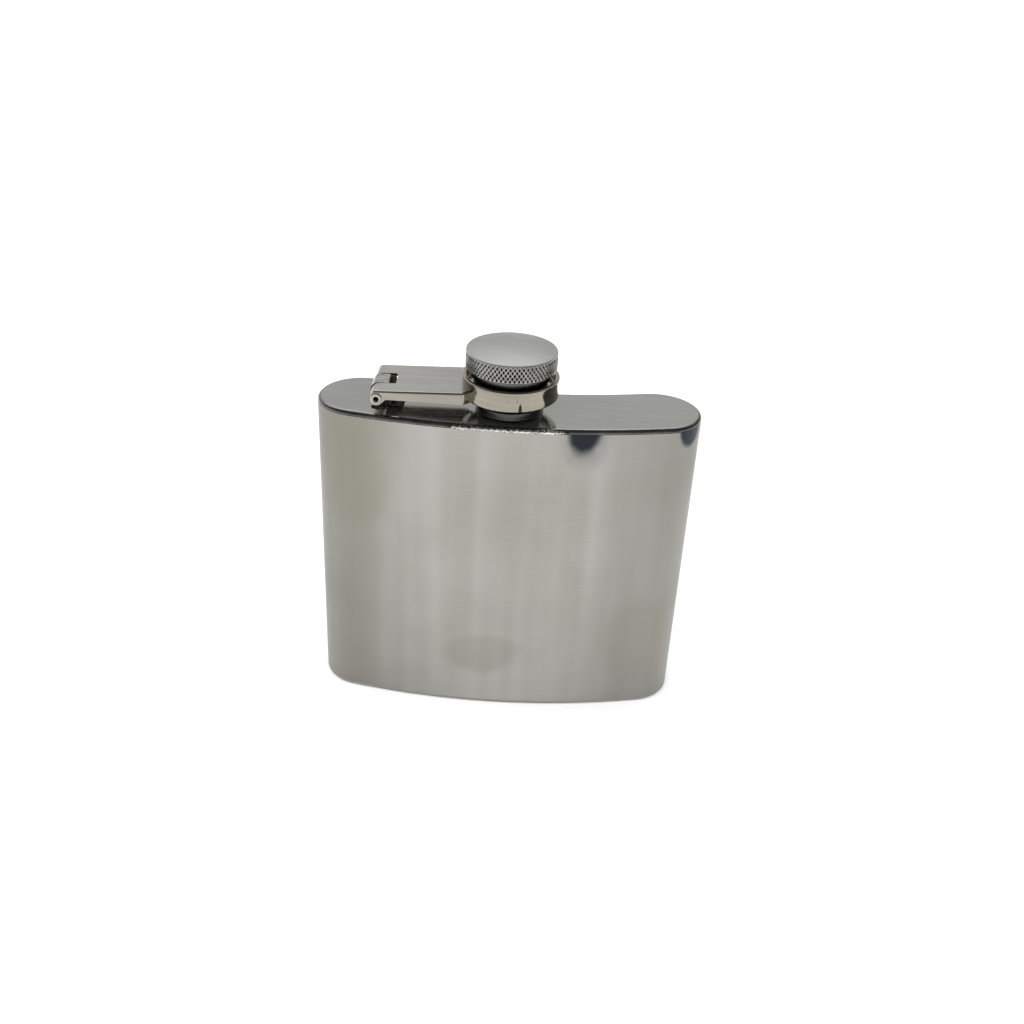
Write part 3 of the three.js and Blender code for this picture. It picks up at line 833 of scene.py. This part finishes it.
def build_collar():
    """The ring, slightly waisted outside, with its inner floor and the floor's hole."""
    outer = (COLLAR_HIGH[0] - COLLAR_LOW[0]) / 2
    inner = outer - COLLAR_WALL
    low, high = COLLAR_LOW[2], COLLAR_HIGH[2]
    floor, floor_top, hole = COLLAR_FLOOR, COLLAR_FLOOR_TOP, COLLAR_HOLE
    outline = [(hole + 0.08, floor), (hole, floor + 0.08), (hole, floor_top - 0.08), (hole + 0.08, floor_top)]
    outline += corner((inner - 0.3, floor_top + 0.3), 0.3, 270, 360, 4)
    outline += [(inner, high - 0.5)]
    outline += corner((inner + 0.4, high - 0.4), 0.4, 180, 95, 6)
    outline += corner((outer - 0.32, high - 0.32), 0.32, 85, 0, 7)
    outline += [(outer - 0.02, high - 0.7), (outer - 0.1, high - 1.6), (outer - 0.16, (low + high) / 2),
                (outer - 0.1, low + 1.2), (outer - 0.02, low + 0.5)]
    outline += corner((outer - 0.25, low + 0.25), 0.25, 0, -90, 6)
    outline += [(inner + 0.15, low), (inner, low + 0.15)]
    outline += corner((inner - 0.3, floor - 0.3), 0.3, 0, 90, 4)
    collar = turned("collar_ring", outline, COLLAR, 160)
    place_piece(collar, "arm", "cap_collar")


# ---------------------------------------------------------------- hinge

def arm_matrix():
    """From the arm's own frame, about the pin, to the flask's."""
    return Matrix.Translation(Vector(PIN) * MM) @ Matrix.Rotation(-ARM_SLOPE, 4, "Y")


def arm_plan(inset, back):
    """The arm seen from above: straight sides, slanted in where it meets the collar."""
    half = ARM_HALF - inset
    start, slant = 19.9, 1.6
    return [(-back, -half), (start, -half), (start + slant, -half + slant), (ARM_LENGTH, -half + slant),
            (ARM_LENGTH, half - slant), (start + slant, half - slant), (start, half), (-back, half)]


def arm_tray(name, inset, back, low, high, bend):
    """A block of the arm's plan whose upper edges are rounded as the sheet is bent."""
    obj = prism(name, arm_plan(inset, back), low, high, ARM)
    bm = bmesh.new()
    bm.from_mesh(obj.data)
    top = [e for e in bm.edges if all(v.co.z > (high - 0.01) * MM for v in e.verts)
           and not all(v.co.x > (ARM_LENGTH - 0.01) * MM for v in e.verts)]
    corners = [e for e in bm.edges if abs(e.verts[0].co.z - e.verts[1].co.z) > 0.5 * MM
               and e.verts[0].co.x < (ARM_LENGTH - 0.5) * MM]
    bmesh.ops.bevel(bm, geom=top + corners, offset=bend * MM, offset_type="OFFSET", segments=6,
                    profile=0.5, affect="EDGES", clamp_overlap=True)
    bm.to_mesh(obj.data)
    bm.free()
    return obj


def arm_side():
    """The arm seen from the side: its curled end, round ear and the sloping edge of its flange."""
    outline = [(ARM_LENGTH, ARM_TOP + 1), (ARM_CURL - ARM_END, ARM_TOP + 1)]
    outline += corner((ARM_CURL - ARM_END, ARM_TOP - ARM_CURL), ARM_CURL, 90, 180, 14)
    outline += corner((0, 0), ARM_END, 180, 326, 22)
    outline += [(2.05, -0.25), (2.5, -0.17), (ARM_LENGTH, -0.95)]
    return outline


def rectangle(left, right, front, rear):
    return [(left, front), (right, front), (right, rear), (left, rear)]


def build_arm():
    """A bent tray, trimmed to the arm's side view, then cut for the collar, the bracket and the pin."""
    arm = arm_tray("arm_plate", 0, ARM_END, -ARM_END, ARM_TOP, ARM_BEND)
    under = ARM_TOP - SHEET
    cut(arm, arm_tray("inside", SHEET, ARM_END - SHEET, -2 * ARM_END, under, 0.25))
    cut(arm, prism("side", arm_side(), -10, 10, ARM, across_y=True), "INTERSECT")
    cut(arm, prism("mouth", rectangle(19, 23, -MOUTH_HALF, MOUTH_HALF), -3.2, under, ARM))
    cut(arm, prism("end", rectangle(-3, 0, -7.2, 7.2), -3.2, -0.3, ARM))
    notch = rectangle(-3.2, 4.1, NOTCH_MIDDLE - NOTCH_HALF, NOTCH_MIDDLE + NOTCH_HALF)
    cut(arm, prism("notch", notch, -3.2, 3.9, ARM))
    cut(arm, prism("hole", corner((0, 0), PIN_HOLE, 0, 351, 40), -10, 10, ARM, across_y=True))
    cut(arm, prism("ring", corner((-PIN[0], 0), 11.1, 0, 357.5, 144), -3.9, 3.9, ARM))
    arm.data.transform(arm_matrix())
    soften(arm, 0.07, 2, 50)
    weigh(shade(arm, 30))
    # Painted shade: the arm's sides take the darker copy of its steel.
    paint(arm, (FLANGE_SHADE,), lambda polygon: int(abs(polygon.normal.y) > 0.6))
    place_piece(arm, "arm", "hinge_arm")


def build_pin():
    """A tube along Y whose ends are spread and dished against the ears."""
    half = ARM_HALF + 0.05
    end = (PIN_HIGH[1] - PIN_LOW[1]) / 2
    bore, shaft, head = 0.55, 1.1, 1.35
    side = [(shaft, half), (head - 0.05, half)] + corner((head - 0.14, end - 0.14), 0.14, 0, 90, 4)
    side += [(0.95, end), (bore + 0.1, end - 0.12), (bore, end - 0.3)]
    mirrored = [(r, -z) for r, z in reversed(side)]
    outline = mirrored + side
    pin = turned("pin_tube", outline, HINGE, 48, centre=(0, 0))
    pin.data.transform(Matrix.Translation(Vector(PIN) * MM) @ Matrix.Rotation(math.pi / 2, 4, "X"))
    place_piece(pin, "arm", "hinge_pin")


def build_bracket():
    """The bent strip: foot, upright, level top and a curl round the pin, with a near-black wing at its rear
    edge, painted shade that closes the view through the arm's notch.
    """
    sheet, inner, reach = BRACKET_SHEET, BRACKET_CURL, BRACKET_REACH
    outer = inner + sheet
    foot = TOP - PIN[2] + 0.01
    end = BRACKET_HIGH[0] - PIN[0]
    outline = [(end, foot), (end, foot + sheet), (reach + 0.3, foot + sheet), (reach, foot + sheet + 0.3)]
    outline += corner((reach - 0.6, outer - 0.6), 0.6, 0, 90, 6)
    outline += corner((0, 0), outer, 90, 297, 30)
    outline += corner((0, 0), inner, 297, 90, 26)
    outline += [(reach - sheet - 0.1, inner), (reach - sheet, inner - 0.1), (reach - sheet, foot)]
    points = [(x + PIN[0], z + PIN[2]) for x, z in outline]
    bracket = prism("bracket_strip", points, BRACKET_LOW[1], BRACKET_HIGH[1], HINGE, across_y=True)
    rear = BRACKET_HIGH[1]
    # The wing is a near-black sheet behind the notch, standing in for shade.
    wing = [(reach - sheet / 2, foot), (SHADE_WING_REACH, foot), (SHADE_WING_REACH, SHADE_WING_TOP - 0.45),
            (SHADE_WING_REACH - 0.45, SHADE_WING_TOP), (reach - sheet / 2, SHADE_WING_TOP)]
    wing = [(x + PIN[0], z + PIN[2]) for x, z in wing]
    cut(bracket, prism("wing", wing, rear - sheet, rear, HINGE, across_y=True), "UNION")
    soften(bracket, 0.07, 2, 50)
    weigh(shade(bracket, 30))

    def part(polygon):
        """1 where the bracket is painted near black, as weld scorch and painted shade: at its foot, on its
        far side and inside its curl.
        """
        x = polygon.center.x / MM - PIN[0]
        z = polygon.center.z / MM - PIN[2]
        scorched = x > reach - 0.05 or z < foot + sheet + 0.4 or math.hypot(x, z) < inner + 0.1
        clean = polygon.normal.y < -0.9 and reach + 0.4 < x < end - 0.1 and z < foot + sheet + 0.1
        return int(scorched and not clean)

    paint(bracket, (SCORCH_AND_SHADE,), part)
    place_piece(bracket, "flask", "hinge_bracket")


def build_bracket_weld():
    """The scorched weld that holds the bracket's foot: overlapping lumps along its edges."""
    left = PIN[0] + 0.9
    right = BRACKET_HIGH[0]
    front, rear = BRACKET_LOW[1], BRACKET_HIGH[1]
    places = [(left, y) for y in np.linspace(front + 0.2, rear - 0.3, 7)]
    places += [(x, front + 0.1) for x in np.linspace(left - 2.2, left + 1.2, 5)]
    places += [(right, y) for y in np.linspace(front + 0.3, rear - 0.3, 6)]
    bm = bmesh.new()
    for k, (x, y) in enumerate(places):
        size = 0.75 + 0.16 * math.sin(2.4 * k)
        matrix = Matrix.Translation(Vector((x, y + 0.1 * math.sin(3.1 * k), TOP)) * MM)
        matrix = matrix @ Matrix.Diagonal((size * MM, 0.62 * MM, (0.62 + 0.14 * math.sin(1.7 * k)) * MM, 1))
        bmesh.ops.create_icosphere(bm, subdivisions=3, radius=1, matrix=matrix)
    for vertex in bm.verts:
        x, y, z = (c / MM for c in vertex.co)
        vertex.co.z += 0.05 * MM * math.sin(9 * x + 5 * y) * math.sin(8 * y - 6 * z)
    mesh = bpy.data.meshes.new("bracket_weld")
    bm.to_mesh(mesh)
    bm.free()
    mesh.materials.append(SCORCH_AND_SHADE)
    weld = bpy.data.objects.new("bracket_weld", mesh)
    bpy.context.scene.collection.objects.link(weld)
    place_piece(shade(weld, 60), "flask")


# ---------------------------------------------------------------- stage

FLOOR_HALF = 6.0


def build_floor():
    """A plain pale floor that runs out of sight."""
    size = FLOOR_HALF
    shader = new_material("floor")[3]
    shader.inputs["Base Color"].default_value = (0.9, 0.9, 0.9, 1)
    shader.inputs["Roughness"].default_value = 0.9
    shader.inputs["Specular IOR Level"].default_value = 0.0
    mesh = bpy.data.meshes.new("floor")
    corners = [(x, y, 0) for x, y in rectangle(-size, size, -size, size)]
    mesh.from_pydata(corners, [], [(0, 1, 2, 3)])
    mesh.materials.append(bpy.data.materials["floor"])
    floor = bpy.data.objects.new("floor", mesh)
    bpy.context.scene.collection.objects.link(floor)


def build_light():
    """An even light from above the front that the steel doesn't mirror, in a studio that it does."""
    lamp = bpy.data.lights.new("top_light", "SUN")
    lamp.energy = 4.4
    lamp.angle = math.radians(110)
    lamp.color = (1.0, 0.995, 0.985)
    obj = bpy.data.objects.new("top_light", lamp)
    obj.rotation_euler = (math.radians(38), math.radians(-6), 0)
    obj.visible_glossy = False
    bpy.context.scene.collection.objects.link(obj)


def ramp(nodes, links, value, stops):
    """Grey levels at places from 0 to 1, run smoothly into each other."""
    node = nodes.new("ShaderNodeValToRGB")
    elements = node.color_ramp.elements
    while len(elements) < len(stops):
        elements.new(0.5)
    for element, (position, level) in zip(elements, stops):
        element.position = position
        element.color = (level, level, level, 1)
    links.new(value, node.inputs[0])
    return node.outputs[0]


# How bright the studio is, from the horizon (0) to overhead (1).
BACK_LEVELS = ((0.0, 0.3), (0.3, 0.37), (0.52, 0.42), (0.64, 0.75), (0.8, 0.9), (0.93, 0.6), (0.985, 0.04))
FRONT_LEVELS = ((0.0, 0.28), (0.25, 0.2), (0.6, 0.08), (1.0, 0.04))
RIGHT_LEVEL = (0.06, 0.06, 0.062)
SEEN_LEVEL = (0.46, 0.46, 0.46)


def build_world():
    """The studio round the flask: a bright band high at the back, dark overhead, in front and on the
    right. Seen directly it is as pale as the floor."""
    world = bpy.data.worlds.new("studio")
    bpy.context.scene.world = world
    world.use_nodes = True
    nodes, links = world.node_tree.nodes, world.node_tree.links
    direction = nodes.new("ShaderNodeTexCoord").outputs["Generated"]
    split = nodes.new("ShaderNodeSeparateXYZ")
    links.new(direction, split.inputs[0])
    x, y, z = split.outputs
    back = ramp(nodes, links, z, BACK_LEVELS)
    front = ramp(nodes, links, z, FRONT_LEVELS)
    level_length = math_node(nodes, links, "SUBTRACT", 1.001, math_node(nodes, links, "MULTIPLY", z, z))
    level_length = math_node(nodes, links, "SQRT", level_length)
    behind = math_node(nodes, links, "DIVIDE", y, level_length)
    turn = remap(nodes, links, behind, 0.2, 0.75, 0.0, 1.0)
    level = mix_colour(nodes, links, turn, front, back)
    right = remap(nodes, links, x, 0.15, 0.8, 0.0, 0.75)
    level = mix_colour(nodes, links, right, level, RIGHT_LEVEL)
    seen = nodes.new("ShaderNodeLightPath").outputs["Is Camera Ray"]
    level = mix_colour(nodes, links, seen, level, SEEN_LEVEL)
    background = nodes["Background"]
    links.new(level, background.inputs["Color"])
    background.inputs["Strength"].default_value = 2.2


# The camera looks down at the front from a hand's distance, slightly tilted.
CAMERA_AIM = Vector((1.9, 4.9, 48.3)) * MM
CAMERA_DISTANCE = 294.8 * MM
CAMERA_YAW = math.radians(0.34)
CAMERA_PITCH = math.radians(29.87)
CAMERA_ROLL = math.radians(3.08)
CAMERA_LENS = 40.65


def build_camera():
    data = bpy.data.cameras.new("camera")
    data.lens = CAMERA_LENS
    data.sensor_width = 36
    data.clip_start = 0.01
    camera = bpy.data.objects.new("camera", data)
    turn = Matrix.Rotation(CAMERA_YAW, 4, "Z") @ Matrix.Rotation(math.pi / 2 - CAMERA_PITCH, 4, "X")
    turn = turn @ Matrix.Rotation(CAMERA_ROLL, 4, "Z")
    back = turn @ Vector((0, 0, 1))
    camera.matrix_world = Matrix.Translation(CAMERA_AIM + back * CAMERA_DISTANCE) @ turn
    bpy.context.scene.collection.objects.link(camera)
    bpy.context.scene.camera = camera


build_camera()
build_body()
build_neck()
build_insert()
build_seal()
build_cap()
build_collar()
build_arm()
build_pin()
build_bracket()
build_bracket_weld()
build_floor()
build_light()
build_world()
bpy.context.scene.view_settings.view_transform = "Standard"
